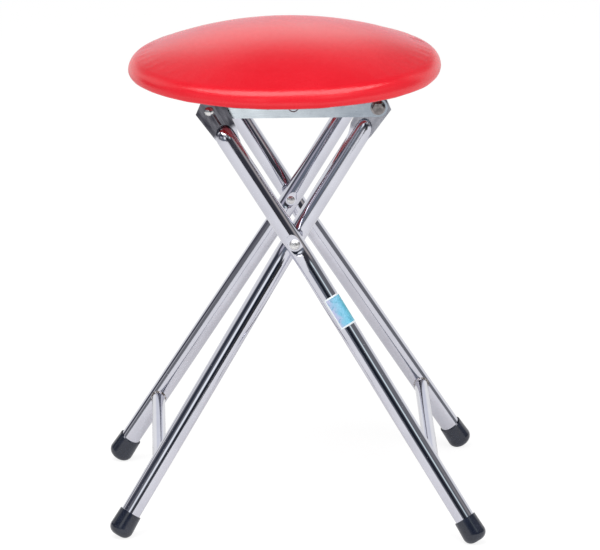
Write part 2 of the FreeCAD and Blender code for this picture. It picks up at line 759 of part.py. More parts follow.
def staple(label, angle):
    """The crown of a staple that holds the cover's hem."""
    feature = doc.addObject("Part::Box", label)
    feature.setExpression("Length", "dims.staple_length")
    feature.setExpression("Width", "dims.staple_width")
    feature.setExpression("Height", "dims.staple_height")
    ring = value(f"{HEM_RADIUS} + dims.hem_width / 2")
    level = value(f"{BOARD_UNDERSIDE} - dims.cover_thickness - dims.staple_height")
    turn = FreeCAD.Rotation(Z_AXIS, angle)
    corner = FreeCAD.Vector(-value("dims.staple_length") / 2, ring, level)
    base = turn.multVec(corner) + FreeCAD.Vector(value("dims.seat_offset"), 0, 0)
    feature.Placement = FreeCAD.Placement(base, turn)
    return feature


# Floor block that trims the soles
floor = doc.addObject("Part::Box", "floor_block")
for side in ("Length", "Width", "Height"):
    floor.setExpression(side, FLOOR_SIDE)
floor.Placement.Base = FreeCAD.Vector(-value(FLOOR_SIDE) / 2, -value(FLOOR_SIDE) / 2, -value(FLOOR_SIDE))

# Outer pair of legs, leaning left
outer_skin, outer_leg = leg(
    "outer_front_leg",
    depth="dims.outer_depth",
    tab_depth=OUTER_TAB_DEPTH,
    splay="dims.outer_splay_angle",
    dome_drop="dims.outer_dome_drop",
    sinks=(
        (-1, "dims.dimple_outside", "dims.rivet_head_diameter"),
        (1, "dims.dimple_inside", "dims.cross_washer_diameter"),
    ),
    lean_sign=-1,
    creased=True,
)
outer_foot = foot("outer_front_foot", "dims.outer_depth", "dims.outer_splay_angle", -1, floor)
outer_bar = stretcher(
    "outer_stretcher",
    depth="dims.outer_depth",
    splay="dims.outer_splay_angle",
    rise="dims.outer_stretcher_rise",
    lean_sign=-1,
    front_skin=outer_skin,
)

# Inner pair of legs, leaning right
inner_skin, inner_leg = leg(
    "inner_front_leg",
    depth=INNER_DEPTH,
    tab_depth=INNER_TAB_DEPTH,
    splay="dims.inner_splay_angle",
    dome_drop="dims.inner_dome_drop",
    sinks=(
        (-1, "dims.dimple_inside", "dims.cross_washer_diameter"),
        (1, "dims.dimple_inside", "dims.rivet_tail_diameter"),
    ),
    lean_sign=1,
    creased=False,
)
inner_foot = foot("inner_front_foot", INNER_DEPTH, "dims.inner_splay_angle", 1, floor)
inner_bar = stretcher(
    "inner_stretcher",
    depth=INNER_DEPTH,
    splay="dims.inner_splay_angle",
    rise="dims.inner_stretcher_rise",
    lean_sign=1,
    front_skin=inner_skin,
)

# Pivots
front_rivet = cross_rivet("front_cross_rivet")
front_pin = hook_pin("front_hook_pin")
front_bolt = pivot_bolt("front_pivot_bolt")
front_nut = pivot_nut("front_pivot_nut")
cross_gap_rear = f"({INNER_DEPTH} + {TUBE_RADIUS} - dims.dimple_inside + dims.side_play)"
cross_gap = "(dims.leg_gap + 2 * dims.dimple_inside - 2 * dims.side_play)"
cross_ring = washer(
    "front_cross_washer",
    cross_gap_rear,
    cross_gap,
    "dims.cross_washer_diameter",
    "dims.rivet_diameter",
)
cross_ring.Placement = facing_front("0", "dims.crossing_height")
pivot_ring = washer(
    "front_pivot_washer",
    WASHER_REAR,
    "dims.pivot_washer_thickness",
    "dims.pivot_washer_diameter",
    "dims.bolt_diameter",
)
pivot_ring.Placement = facing_front(PIVOT_SPAN, PIVOT_HEIGHT)

# Seat
front_rail = seat_rail("front_seat_rail")
board = seat_board("seat_board")
outer_form = seat_form("seat_outside", "0")
inner_form = seat_form("seat_inside", "dims.cover_thickness")
closed_cover = cut("seat_cover_closed", outer_form, inner_form)
hem_opening = cylinder("hem_opening", HEM_RADIUS, "dims.cover_thickness")
cover_underside = value(f"{BOARD_UNDERSIDE} - dims.cover_thickness")
hem_opening.Placement.Base = FreeCAD.Vector(value("dims.seat_offset"), 0, cover_underside)
cover = cut("seat_cover", closed_cover, hem_opening)
board_blank = cylinder("board_blank", BOARD_RADIUS, "dims.board_thickness")
board_blank.Placement.Base = FreeCAD.Vector(value("dims.seat_offset"), 0, value(BOARD_UNDERSIDE))
foam = cut("seat_foam", inner_form, board_blank)
screws = [
    rail_screw(f"rail_screw_{side_name}_{index}", place, side)
    for side_name, side in (("front", -1), ("rear", 1))
    for index, place in enumerate(screw_places())
]
staples = [staple(f"staple_{index}", 360 * index / STAPLE_COUNT) for index in range(STAPLE_COUNT)]

NODES = [
    outer_leg,
    mirrored("outer_rear_leg", outer_leg),
    outer_foot,
    mirrored("outer_rear_foot", outer_foot),
    outer_bar,
    inner_leg,
    mirrored("inner_rear_leg", inner_leg),
    inner_foot,
    mirrored("inner_rear_foot", inner_foot),
    inner_bar,
    front_rivet,
    mirrored("rear_cross_rivet", front_rivet),
    group("cross_washers", [cross_ring, mirrored("rear_cross_washer", cross_ring)]),
    front_pin,
    mirrored("rear_hook_pin", front_pin),
    front_bolt,
    mirrored("rear_pivot_bolt", front_bolt),
    front_nut,
    mirrored("rear_pivot_nut", front_nut),
    group("pivot_washers", [pivot_ring, mirrored("rear_pivot_washer", pivot_ring)]),
    front_rail,
    mirrored("rear_seat_rail", front_rail),
    group("rail_screws", screws),
    board,
    foam,
    cover,
    group("cover_staples", staples),
]
doc.recompute()

for item in doc.Objects:
    if "Invalid" in item.State or "Error" in item.State:
        raise ValueError(f"{item.Label} failed: {item.State}")
for node in NODES:
    if node.Shape.isNull() or not node.Shape.isValid():
        raise ValueError(f"{node.Label} has no valid shape")

os.makedirs("parts", exist_ok=True)
for node in NODES:
    node.Shape.exportStep(f"parts/{node.Label}.step")
    print(f"{node.Label}: {len(node.Shape.Solids)} solids, {node.Shape.Volume:.1f} mm3")
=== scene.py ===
"""Looks of the folding stool: finishes, padded seat, label, weld beads, studio and camera.

Lengths are in metres, in the part's own frame: X across the fold, Y along the hinges, Z up.
"""

import math

import bpy
import numpy as np
from mathutils import Matrix, Vector, kdtree


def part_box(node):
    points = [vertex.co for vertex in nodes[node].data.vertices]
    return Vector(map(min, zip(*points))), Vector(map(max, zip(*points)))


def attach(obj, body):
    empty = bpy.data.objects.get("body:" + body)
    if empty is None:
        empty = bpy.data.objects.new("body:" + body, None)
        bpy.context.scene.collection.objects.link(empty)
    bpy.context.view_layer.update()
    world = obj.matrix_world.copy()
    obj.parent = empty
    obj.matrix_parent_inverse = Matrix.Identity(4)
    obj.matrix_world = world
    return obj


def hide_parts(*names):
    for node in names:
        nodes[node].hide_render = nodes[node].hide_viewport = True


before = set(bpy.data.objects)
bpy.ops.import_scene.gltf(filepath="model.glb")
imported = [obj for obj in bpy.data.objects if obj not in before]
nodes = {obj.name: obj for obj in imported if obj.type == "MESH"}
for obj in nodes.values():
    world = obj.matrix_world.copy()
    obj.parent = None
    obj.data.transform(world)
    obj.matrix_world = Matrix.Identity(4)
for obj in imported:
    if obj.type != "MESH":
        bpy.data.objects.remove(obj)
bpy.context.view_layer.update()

# Frame sizes that the solids' boxes don't give
TUBE_RADIUS = 0.0095
STRETCHER_RADIUS = 0.0065
LEG_LEAN = math.radians(31.85)
OUTER_SPLAY = math.radians(13.0)
INNER_SPLAY = math.radians(10.5)
CROSSING = Vector((0.0, 0.0, 0.2793))
CROSSING_TO_PIVOT = 0.1519
BEND_DROP = 0.022
OUTER_DEPTH = 0.096
INNER_DEPTH = 0.0765
OUTER_TAB_DROP = 0.0245
INNER_TAB_DROP = 0.030
OUTER_TAB_FACE = 0.0938
INNER_TAB_FACE = 0.0812

# The range that most of a noise's values lie in
NOISE_RANGE = (0.3, 0.7)

# Chrome: how softly a tab's finish begins along the leg and ends off its face, the duller stretch
# below it, and each tab's darkest and palest tint and its roughness; the outer tab's dark tints are painted
# shade on its face
TAB_BLEND = 0.003
TAB_SKIN = (0.0004, 0.0016)
PRESSED_DROP = (0.026, 0.016)
PRESSED_HAZE = 0.07
OUTER_TAB_SHADED_TINTS = ((0.044, 0.044, 0.058), (0.225, 0.223, 0.250))
INNER_TAB_TINTS = ((0.380, 0.390, 0.440), (0.560, 0.565, 0.620))
OUTER_TAB_ROUGH = 0.26
INNER_TAB_ROUGH = 0.36

# Rails: where across they go from pale to grey, as painted shade falling towards the bolt
RAIL_SHADE_SPAN = (-0.06, 0.08)
# Ring pressed in the rails' webs: its centre across and up, radius, line width and depth
RING_PLACE = (0.0, 0.410)
RING_RADIUS = 0.0048
RING_LINE = 0.0005
RING_DEPTH = 0.0002

# Vinyl: heights over the cover's bottom where it stops being matt, and where the painted shade along its
# bottom edge ends
TURNED_MATT = (0.0022, 0.0075)
SHADED_EDGE = (0.0004, 0.0016)

# Padded seat: its rounds, its hem, the corner that stays sharp at the hem, and the steps of its mesh
RIM_ROUND = 0.0144
LOWER_ROUND = 0.0072
HEM_WIDTH = 0.018
HEM_TUCK = 0.003
HEM_CORNER = math.radians(50)
SEAT_STEPS = 144
ARC_STEPS = 14
CROWN_STEPS = 24
# The padding has even quads, starts that far inside the cover and is pinned at its foot; its points move by
# the cap at most, and the cover takes up a share of what near points move
VOXEL = 0.005
SHRINK = 0.005
PINNED_SHARE = 1.6
SIM_CAP = 0.0055
SIM_FRAMES = 20
CLOTH = {
    "quality": 6,
    "mass": 0.3,
    "tension_stiffness": 18.0,
    "compression_stiffness": 18.0,
    "shear_stiffness": 8.0,
    "bending_stiffness": 1.5,
    "use_pressure": True,
    "uniform_pressure_force": 4.0,
}
SOFT_NEIGHBOURS = 40
SOFT_SHARE = 0.12
SEAT_LEAN = math.radians(0.55)
# Waves round the seat, as (count, height, phase)
LIP_WAVES = ((34, 0.00008, 0.4), (21, 0.00010, 1.9), (13, 0.00012, 4.0), (5, 0.00016, 0.9))
HEM_WAVES = ((52, 0.00030, 0.0), (71, 0.00022, 2.2))
HEM_MARGIN = 0.001

# Label on the front outer leg: its start below the bend, its length, its turn round the tube from the line
# that faces the camera, its outer face's height over the tube, its thickness, and its border and the share
# of it that is blurred
LABEL_START = 0.0400
LABEL_LENGTH = 0.0325
LABEL_FROM = math.radians(-38)
LABEL_TO = math.radians(105)
LABEL_FACE = 0.00012
LABEL_THICKNESS = 0.000108
LABEL_BORDER = 0.0016
LABEL_BLUR = 0.15
LABEL_ROWS = 24
LABEL_COLUMNS = 28

# Weld beads
WELD_RADIUS = 0.0011
WELD_STEPS = 72
WELD_SIDES = 10
# Ripples and slower swellings round a bead, as (count, share of the radius)
WELD_RIPPLES = (22, 0.16)
WELD_SWELLS = (3, 0.10)

# Studio dome, which only reflections see: its size, and its panels in degrees, each over those before it
DOME_CENTRE = Vector((0.0, 0.0, 0.25))
DOME_RADIUS = 2.4
DOME_FOOT = -6.0
DOME_STEP = 1.5
# Name: (azimuth, elevation), (half width, half height), softness, colour
PANELS = {
    "room": ((7, 30), (95, 54), 14, (0.205, 0.208, 0.222)),
    "low_left_side": ((-114, 6), (10, 4), 8, (0.085, 0.085, 0.105)),
    "low_right_side": ((102, 5), (8, 4), 7, (0.210, 0.215, 0.230)),
    "dark_right": ((28, 8), (22, 8), 12, (0.052, 0.052, 0.064)),
    "low_left": ((-35, 3), (14, 5), 7, (0.180, 0.205, 0.255)),
    "dark_centre": ((0, 13), (8, 8), 9, (0.015, 0.021, 0.033)),
    "window_left": ((-21, 17.5), (6, 4), 8, (1.25, 1.30, 1.32)),
    "dark_left": ((-65, 26), (13, 6), 9, (0.045, 0.053, 0.075)),
    "spot_left": ((-61, 14.5), (9, 2.5), 6, (0.62, 0.60, 0.68)),
    "side_left": ((-92, 15), (7, 5), 6, (0.100, 0.095, 0.120)),
    "window_right": ((34.5, 25), (3, 3), 8, (0.95, 1.10, 1.10)),
    "spot_right": ((74, 18), (7, 2), 7, (0.54, 0.49, 0.46)),
    "low_window": ((0, 34), (5, 2), 4, (0.9, 0.92, 0.95)),
    "back_ceiling": ((180, 68), (104, 20), 20, (0.012, 0.012, 0.015)),
    "back_right": ((146, 32), (16, 10), 12, (0.24, 0.24, 0.25)),
    "back_left": ((-148, 36), (12, 10), 12, (0.26, 0.26, 0.27)),
    "back_low": ((180, 8), (12, 3), 5, (0.80, 0.82, 0.90)),
    "back_window": ((-179, 25), (6, 4), 8, (1.25, 1.25, 1.25)),
}
# Softbox over the stool, as (across, depth) corners, with its height and its glow
SOFTBOX_HEIGHT = 1.75
SOFTBOX_CORNERS = (
    (-1.80, 0.02),
    (-1.80, -0.60),
    (-1.25, -1.40),
    (1.20, -1.40),
    (1.65, -0.60),
    (1.65, 0.02),
    (0.80, -0.27),
    (0.0, -0.36),
    (-0.80, -0.27),
)
SOFTBOX_GLOW = 5.2
# Dark stand on the floor in front, to the right: its azimuths, distance, height and glow
STAND_AZIMUTHS = (14.0, 42.0)
STAND_DISTANCE = 1.05
STAND_HEIGHT = 0.30
STAND_GLOW = 0.05

# Floor, as (glow, shade): what the camera sees and what mirror images show
FLOOR_SEEN = (0.84, 0.26)
FLOOR_MIRRORED = (0.30, 0.74)
FLOOR_HALF = 6.0
FLOOR_DROP = 0.0002

# Light of the world where it is neither seen nor mirrored
WORLD_LIGHT = 0.5
# Lamps, by name: azimuth and elevation in degrees, distance, size and power
LAMPS = {
    "key": (-25, 62, 2.2, 1.4, 26),
    "fill": (40, 30, 2.6, 1.6, 16),
}

# Camera, fitted to the photograph
CAMERA_AZIMUTH = math.radians(-1.24)
CAMERA_ELEVATION = math.radians(15.03)
CAMERA_ROLL = math.radians(-0.36)
CAMERA_DISTANCE = 7.0
CAMERA_AIM = 0.226
CAMERA_PAN = (0.00698, -0.00378)
CAMERA_LENS = 434.83
CAMERA_SENSOR = 36.0


def direction(azimuth, elevation):
    """The unit vector at an azimuth, measured from the front (-Y) towards +X, and an elevation."""
    flat = math.cos(elevation)
    return Vector((math.sin(azimuth) * flat, -math.cos(azimuth) * flat, math.sin(elevation)))


def add_object(name, data):
    """A new object of the scene."""
    made = bpy.data.objects.new(name, data)
    bpy.context.scene.collection.objects.link(made)
    return made


def mesh_from(name, points, faces):
    """A mesh with smooth faces."""
    mesh = bpy.data.meshes.new(name)
    mesh.from_pydata([tuple(p) for p in points], [], faces)
    mesh.shade_smooth()
    mesh.update()
    return mesh


def grid_faces(rows, columns, closed_rows=False, closed_columns=False):
    """Quads between a grid's points, which may close on itself either way."""
    faces = []
    for row in range(rows if closed_rows else rows - 1):
        low = row * columns
        high = (row + 1) % rows * columns
        for column in range(columns if closed_columns else columns - 1):
            beside = (column + 1) % columns
            faces.append((low + column, low + beside, high + beside, high + column))
    return faces


class Finish:
    """A procedural material: a Principled surface and the nodes that feed it, in the part's metres."""

    def __init__(self, name, **constants):
        self.material = bpy.data.materials.new(name)
        self.material.use_nodes = True
        self.tree = self.material.node_tree
        self.surface = self.tree.nodes["Principled BSDF"]
        for socket, value in constants.items():
            self.surface.inputs[socket.replace("_", " ")].default_value = value
        self.place = self.node("ShaderNodeTexCoord").outputs["Object"]

    def node(self, kind, inputs=None, **settings):
        """A node with its settings, and its inputs linked or set."""
        made = self.tree.nodes.new(kind)
        for setting, value in settings.items():
            setattr(made, setting, value)
        for socket, value in (inputs or {}).items():
            if isinstance(value, bpy.types.NodeSocket):
                self.tree.links.new(value, made.inputs[socket])
            else:
                made.inputs[socket].default_value = value
        return made

    def feed(self, socket, output):
        """Links an output to the surface."""
        self.tree.links.new(output, self.surface.inputs[socket])

    def stretched(self, scale, turn=(0.0, 0.0, 0.0)):
        """The place, turned and then stretched along the turned axes."""
        turned = self.node("ShaderNodeMapping", {"Vector": self.place, "Rotation": turn})
        inputs = {"Vector": turned.outputs["Vector"], "Scale": scale}
        return self.node("ShaderNodeMapping", inputs).outputs["Vector"]

    def noise(self, size, detail=2.0, place=None, distortion=0.0):
        """Soft noise, with spots of about that size."""
        inputs = {
            "Vector": place or self.place,
            "Scale": 1.0 / size,
            "Detail": detail,
            "Distortion": distortion,
        }
        return self.node("ShaderNodeTexNoise", inputs).outputs["Fac"]

    def cells(self, size):
        """Distance within cells of about that size."""
        inputs = {"Vector": self.place, "Scale": 1.0 / size}
        return self.node("ShaderNodeTexVoronoi", inputs).outputs["Distance"]

    def split(self, place=None):
        """The X, Y and Z of a place."""
        return self.node("ShaderNodeSeparateXYZ", {"Vector": place or self.place}).outputs

    def span(self, value, low, high, to_low, to_high, smooth=False):
        """The value, mapped from one range to another and held there."""
        kind = "SMOOTHSTEP" if smooth else "LINEAR"
        inputs = {
            "Value": value,
            "From Min": low,
            "From Max": high,
            "To Min": to_low,
            "To Max": to_high,
        }
        return self.node("ShaderNodeMapRange", inputs, interpolation_type=kind).outputs["Result"]

    def spread(self, noise, low, high):
        """A noise, spread from low to high."""
        return self.span(noise, *NOISE_RANGE, low, high)

    def joined(self, first, second, operation="ADD"):
        """Two values joined by an operation."""
        return self.node("ShaderNodeMath", {0: first, 1: second}, operation=operation).outputs["Value"]

    def unsigned(self, value):
        """A value without its sign."""
        return self.node("ShaderNodeMath", {0: value}, operation="ABSOLUTE").outputs["Value"]

    def along(self, axis, origin):
        """How far the place lies from the origin along an axis."""
        offset = self.node("ShaderNodeVectorMath", {0: self.place, 1: origin}, operation="SUBTRACT")
        inputs = {0: offset.outputs["Vector"], 1: axis}
        return self.node("ShaderNodeVectorMath", inputs, operation="DOT_PRODUCT").outputs["Value"]

    def ramp(self, factor, *stops):
        """A colour ramp of (position, colour) stops."""
        made = self.node("ShaderNodeValToRGB", {"Fac": factor})
        elements = made.color_ramp.elements
        while len(elements) < len(stops):
            elements.new(0.5)
        for element, (position, colour) in zip(elements, stops):
            element.position = position
            element.color = (*colour, 1.0)
        return made.outputs["Color"]

    def mix(self, factor, first, second):
        """Two colours mixed by a factor."""
        made = self.node("ShaderNodeMix", data_type="RGBA")
        for socket, value in ((0, factor), (6, first), (7, second)):
            if isinstance(value, bpy.types.NodeSocket):
                self.tree.links.new(value, made.inputs[socket])
            else:
                made.inputs[socket].default_value = value if socket == 0 else (*value, 1.0)
        return made.outputs[2]

    def bump(self, height, distance, under=None):
        """A normal raised by height times distance, over another normal."""
        inputs = {"Height": height, "Distance": distance, "Strength": 1.0}
        if under is not None:
            inputs["Normal"] = under
        return self.node("ShaderNodeBump", inputs).outputs["Normal"]


def chrome(name, axis, tab_drop, tab_face, tab_rough, tab_tints_and_shade):
    """Bright chromed tube with polishing haze; its pressed end is duller, and its flat tab streaked, with
    painted shade on the outer tab.
    """
    finish = Finish(name, Metallic=1.0)
    haze = finish.noise(0.030, detail=4.0)
    spots = finish.noise(0.0022, detail=3.0)
    along = finish.along(axis, CROSSING)
    top = CROSSING_TO_PIVOT - tab_drop
    above = finish.span(along, top - TAB_BLEND, top + TAB_BLEND, 0.0, 1.0, True)
    depth = finish.unsigned(finish.split()["Y"])
    flat = finish.span(depth, tab_face + TAB_SKIN[0], tab_face + TAB_SKIN[1], 1.0, 0.0, True)
    tab = finish.joined(above, flat, "MULTIPLY")
    bright = finish.ramp(haze, (0.30, (0.570, 0.575, 0.640)), (0.70, (0.625, 0.630, 0.695)))
    lean = (0.0, math.atan2(-axis.x, axis.z), 0.0)
    drawn_out = finish.stretched((1.0, 1.0, 0.22), lean)
    streaks = finish.noise(0.004, detail=4.0, place=drawn_out, distortion=0.3)
    # Streaked tab tone; on the outer tab its dark tints are painted shade
    tab_streaks_and_shade = finish.ramp(streaks, (0.30, tab_tints_and_shade[0]), (0.72, tab_tints_and_shade[1]))
    finish.feed("Base Color", finish.mix(tab, bright, tab_streaks_and_shade))
    polish = finish.span(haze, 0.35, 0.65, 0.045, 0.085)
    specks = finish.span(spots, 0.62, 0.80, 0.0, 0.10)
    pressed = finish.span(along, top - PRESSED_DROP[0], top - PRESSED_DROP[1], 0.0, PRESSED_HAZE, True)
    tube_haze = finish.joined(finish.joined(polish, specks), pressed)
    scuffs = finish.noise(0.0016, detail=4.0, place=finish.stretched((1.0, 1.0, 0.18), lean))
    tab_haze = finish.span(scuffs, 0.30, 0.75, tab_rough * 0.8, tab_rough * 1.25)
    blended = finish.node("ShaderNodeMix", {0: tab, 2: tube_haze, 3: tab_haze}, data_type="FLOAT")
    finish.feed("Roughness", blended.outputs[0])
    waves = finish.bump(finish.noise(0.016, detail=1.0), 0.00005)
    finish.feed("Normal", finish.bump(scuffs, 0.000004, waves))
    return finish.material


def zinc():
    """Dull zinc-plated strip with a fine rolled grain, with painted shade greying it towards its bolt, and
    a pressed ring.
    """
    finish = Finish("zinc_plate", Metallic=1.0)
    cloud = finish.noise(0.014, detail=3.0)
    grain = finish.noise(0.0009, detail=3.0, place=finish.stretched((0.05, 1.0, 1.0)))
    place = finish.split()
    # Painted shade: the plating greys from left to right, with a little random tone from the cloud on top
    shade_and_tone = finish.joined(finish.span(place["X"], *RAIL_SHADE_SPAN, 0.0, 1.0), finish.spread(cloud, -0.10, 0.10))
    pale, middle, grey = (0.740, 0.810, 0.860), (0.590, 0.650, 0.700), (0.390, 0.440, 0.500)
    plating_and_shade = finish.ramp(shade_and_tone, (0.10, pale), (0.45, middle), (0.90, grey))
    across = finish.joined(place["X"], RING_PLACE[0], "SUBTRACT")
    up = finish.joined(place["Z"], RING_PLACE[1], "SUBTRACT")
    offset = finish.node("ShaderNodeCombineXYZ", {"X": across, "Y": up}).outputs["Vector"]
    away = finish.node("ShaderNodeVectorMath", {0: offset}, operation="LENGTH").outputs["Value"]
    line = finish.unsigned(finish.joined(away, RING_RADIUS, "SUBTRACT"))
    ring = finish.span(line, 0.0, RING_LINE, 1.0, 0.0, True)
    finish.feed("Base Color", finish.mix(ring, plating_and_shade, (0.17, 0.18, 0.21)))
    dullness = finish.spread(cloud, 0.15, 0.20)
    finish.feed("Roughness", finish.joined(dullness, finish.spread(grain, 0.0, 0.06)))
    finish.feed("Normal", finish.bump(ring, -RING_DEPTH, finish.bump(grain, 0.000012)))
    return finish.material


def bolt_steel():
    """Darker plated bolt with handling marks."""
    finish = Finish("bolt_steel", Metallic=1.0)
    cloud = finish.noise(0.003, detail=3.0)
    dark, pale = (0.15, 0.135, 0.135), (0.36, 0.335, 0.335)
    finish.feed("Base Color", finish.ramp(cloud, (0.3, dark), (0.7, pale)))
    finish.feed("Roughness", finish.spread(cloud, 0.16, 0.26))
    finish.feed("Normal", finish.bump(finish.noise(0.005, detail=1.0), 0.0002))
    return finish.material


def bright_steel(name, polish, dent):
    """Plated fasteners with dents and fine handling scratches."""
    finish = Finish(name, Metallic=1.0)
    cloud = finish.noise(0.004, detail=3.0)
    slanted = finish.stretched((1.0, 1.0, 0.08), (0.0, 0.9, 0.3))
    scratch = finish.noise(0.0006, detail=2.0, place=slanted)
    grey, pale = (0.60, 0.60, 0.61), (0.74, 0.735, 0.73)
    finish.feed("Base Color", finish.ramp(cloud, (0.3, grey), (0.7, pale)))
    scratched = finish.span(scratch, 0.5, 0.8, 0.0, 0.12)
    finish.feed("Roughness", finish.joined(finish.spread(cloud, *polish), scratched))
    dents = finish.bump(finish.noise(0.006, detail=1.0), dent)
    finish.feed("Normal", finish.bump(scratch, 0.000006, dents))
    return finish.material


def rubber():
    """Moulded black rubber with a dusty bloom."""
    finish = Finish("black_rubber", Specular_IOR_Level=0.62)
    dust = finish.noise(0.007, detail=4.0)
    pits = finish.noise(0.0007, detail=2.0)
    black, bloom = (0.008, 0.011, 0.022), (0.018, 0.023, 0.041)
    finish.feed("Base Color", finish.ramp(dust, (0.30, black), (0.75, bloom)))
    finish.feed("Roughness", finish.spread(dust, 0.13, 0.21))
    finish.feed("Normal", finish.bump(pits, 0.00004))
    return finish.material


def plywood():
    """Red-stained plywood, as the legs mirror it: long grain lines and darker flecks."""
    finish = Finish("plywood", Specular_IOR_Level=0.3)
    grain = finish.noise(0.004, detail=5.0, place=finish.stretched((0.06, 1.0, 1.0)), distortion=0.6)
    flecks = finish.noise(0.0012, detail=2.0, place=finish.stretched((0.12, 1.0, 1.0)))
    dark, middle, pale = (0.270, 0.040, 0.048), (0.380, 0.058, 0.070), (0.470, 0.085, 0.098)
    wood = finish.ramp(grain, (0.28, dark), (0.52, middle), (0.78, pale))
    flecked = finish.span(flecks, 0.62, 0.75, 0.0, 0.55)
    finish.feed("Base Color", finish.mix(flecked, wood, (0.150, 0.022, 0.026)))
    finish.feed("Roughness", finish.spread(grain, 0.55, 0.72))
    finish.feed("Normal", finish.bump(grain, 0.00012))
    return finish.material


def vinyl():
    """Glossy red vinyl with a fine embossed grain; where it turns under, it is matt, and painted shade
    darkens its bottom edge.
    """
    finish = Finish("red_vinyl")
    cloud = finish.noise(0.060, detail=3.0)
    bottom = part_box("seat_cover")[0].z
    height = finish.split()["Z"]
    turned = finish.span(height, bottom + TURNED_MATT[0], bottom + TURNED_MATT[1], 1.0, 0.0, True)
    painted_shade_edge = finish.span(height, bottom + SHADED_EDGE[0], bottom + SHADED_EDGE[1], 1.0, 0.0, True)
    grain = finish.cells(0.0011)
    pores = finish.noise(0.0005, detail=2.0)
    red = finish.ramp(cloud, (0.30, (0.765, 0.010, 0.022)), (0.72, (0.810, 0.013, 0.027)))
    # Painted shade: the red darkens along the bottom edge, where the lip meets the rail
    finish.feed("Base Color", finish.mix(painted_shade_edge, red, (0.34, 0.004, 0.010)))
    finish.feed("Specular IOR Level", finish.span(turned, 0.0, 1.0, 0.5, 0.12))
    open_pores = finish.span(pores, 0.4, 0.7, 0.0, 0.05)
    finish.feed("Roughness", finish.joined(finish.spread(cloud, 0.22, 0.27), open_pores))
    finish.feed("Normal", finish.bump(pores, 0.000012, finish.bump(grain, 0.000035)))
    return finish.material


def weld_metal():
    """Plated weld metal, pale with grey and brown patches."""
    finish = Finish("weld_metal", Metallic=0.85)
    tint = finish.noise(0.0035, detail=3.0)
    brown, grey, pale = (0.10, 0.08, 0.065), (0.36, 0.33, 0.31), (0.56, 0.565, 0.61)
    finish.feed("Base Color", finish.ramp(tint, (0.36, brown), (0.46, grey), (0.60, pale)))
    finish.feed("Roughness", finish.spread(tint, 0.30, 0.55))
    finish.feed("Normal", finish.bump(finish.noise(0.0008), 0.00006))
    return finish.material


def label_film():
    """Plain film, lavender to blue to teal, with darker mottling and a white border."""
    finish = Finish("label_film", Roughness=0.35)
    # The film's own coordinates run 0 to 1 along it and across it
    film = finish.split(finish.node("ShaderNodeUVMap", uv_map="film").outputs["UV"])
    cloud = finish.noise(0.009, detail=2.0)
    drift = finish.joined(film["Y"], finish.spread(cloud, -0.16, 0.16))
    lavender, sky = (0.50, 0.52, 0.74), (0.24, 0.55, 0.74)
    blue, teal = (0.17, 0.53, 0.72), (0.06, 0.40, 0.50)
    tones = finish.ramp(drift, (0.12, lavender), (0.36, sky), (0.58, blue), (0.84, teal))
    mottle = finish.span(finish.noise(0.0032, detail=2.0), 0.50, 0.66, 0.0, 0.55, True)
    mottled = finish.mix(mottle, tones, (0.10, 0.36, 0.52))
    wrapped = TUBE_RADIUS * (LABEL_TO - LABEL_FROM)
    edges = []
    for axis, length in (("X", LABEL_LENGTH), ("Y", wrapped)):
        width = LABEL_BORDER / length
        off = finish.unsigned(finish.joined(film[axis], 0.5, "SUBTRACT"))
        inner = 0.5 - width * (1 + LABEL_BLUR)
        outer = 0.5 - width * (1 - LABEL_BLUR)
        edges.append(finish.span(off, inner, outer, 0.0, 1.0))
    border = finish.joined(*edges, "MAXIMUM")
    finish.feed("Base Color", finish.mix(border, mottled, (0.84, 0.90, 0.93)))
    return finish.material


def paint_frame():
    """Gives every solid its finish; the vinyl is handed on for the padded seat."""
    outer_axis = Vector((-math.sin(LEG_LEAN), 0.0, math.cos(LEG_LEAN)))
    inner_axis = Vector((math.sin(LEG_LEAN), 0.0, math.cos(LEG_LEAN)))
    outer_tab = (OUTER_TAB_DROP, OUTER_TAB_FACE, OUTER_TAB_ROUGH, OUTER_TAB_SHADED_TINTS)
    inner_tab = (INNER_TAB_DROP, INNER_TAB_FACE, INNER_TAB_ROUGH, INNER_TAB_TINTS)
    outer = chrome("outer_chrome", outer_axis, *outer_tab)
    inner = chrome("inner_chrome", inner_axis, *inner_tab)
    steel = bright_steel("bright_fastener", polish=(0.18, 0.28), dent=0.0003)
    rivet = bright_steel("rivet_steel", polish=(0.34, 0.42), dent=0.00012)
    bolt = bolt_steel()
    plate = zinc()
    black = rubber()
    wood = plywood()
    red = vinyl()
    for name, thing in nodes.items():
        if name.endswith("_foot"):
            finish = black
        elif name.startswith("outer_"):
            finish = outer
        elif name.startswith("inner_"):
            finish = inner
        elif name.endswith("_seat_rail"):
            finish = plate
        elif name.endswith("_pivot_bolt"):
            finish = bolt
        elif name.endswith("_cross_rivet"):
            finish = rivet
        elif name == "seat_board":
            finish = wood
        elif name in ("seat_cover", "seat_foam"):
            finish = red
        else:
            finish = steel
        thing.data.materials.clear()
        thing.data.materials.append(finish)
    return red


def arc(centre, radius, start, end, steps):
    """Points of an arc in the seat's half section, as (radius, height)."""
    angles = np.linspace(start, end, steps + 1)
    return [(centre[0] + radius * math.cos(a), centre[1] + radius * math.sin(a)) for a in angles]


